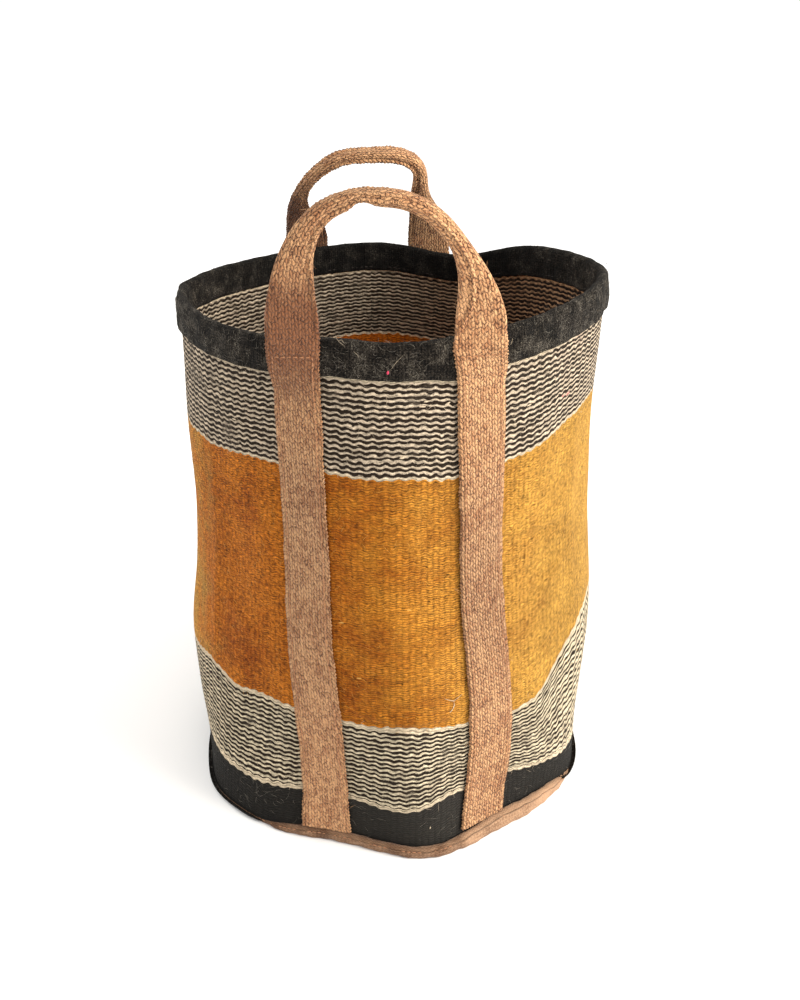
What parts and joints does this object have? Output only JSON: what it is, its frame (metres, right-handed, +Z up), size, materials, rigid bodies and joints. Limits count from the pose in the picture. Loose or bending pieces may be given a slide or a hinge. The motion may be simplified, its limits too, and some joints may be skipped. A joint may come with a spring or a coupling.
{
  "type": "woven storage bag",
  "caption": "Tall round storage bag of striped woven wool with a felted rim, a jute base and webbing straps that form folding handles.",
  "frame": {"origin": "middle of the round base, on the surface that the bag stands on", "axes": "+Z up out of the mouth, -Y towards the front panel between the front straps, +X to the right of someone facing the front"},
  "size_m": [0.4198, 0.4483, 0.6297],
  "materials": {
    "wool_kilim": "flat-woven wool in bands: black and cream rows, then mustard, then black and cream rows, then black",
    "wool_felt": "thick charcoal wool band, slightly fuzzy, with pale stray fibres",
    "jute_base": "plain-woven jute, stiff",
    "jute_binding": "rolled jute tape, plain weave",
    "jute_webbing": "thick jute webbing with twill columns, pinkish tan",
    "sewing_thread": "spun sewing thread in the colour of the webbing"
  },
  "bodies": {
    "bag": {"woven_body": "wool_kilim", "rim_binding": "wool_felt", "base_disc": "jute_base", "base_binding": "jute_binding", "front_strap_left_leg": "jute_webbing", "front_strap_right_leg": "jute_webbing", "rear_strap_left_leg": "jute_webbing", "rear_strap_right_leg": "jute_webbing", "front_left_leg_thread": "sewing_thread", "front_right_leg_thread": "sewing_thread", "rear_left_leg_thread": "sewing_thread", "rear_right_leg_thread": "sewing_thread", "side_seam_thread": "sewing_thread", "rim_hem_thread": "sewing_thread", "base_seam_thread": "sewing_thread"},
    "front_handle": {"front_handle": "jute_webbing", "front_grip_thread": "sewing_thread"},
    "rear_handle": {"rear_handle": "jute_webbing", "rear_grip_thread": "sewing_thread"}
  },
  "joints": [
    {"name": "front_handle_fold", "type": "hinge", "parent": "bag", "child": "front_handle", "pos_m": [-0.00223, -0.19304, 0.51463], "axis": [0.9999, -0.013, 0], "range_deg": [-88, 165]},
    {"name": "rear_handle_fold", "type": "hinge", "parent": "bag", "child": "rear_handle", "pos_m": [-0.02652, 0.19521, 0.49259], "axis": [-0.9878, -0.1555, 0], "range_deg": [-60, 193]}
  ]
}
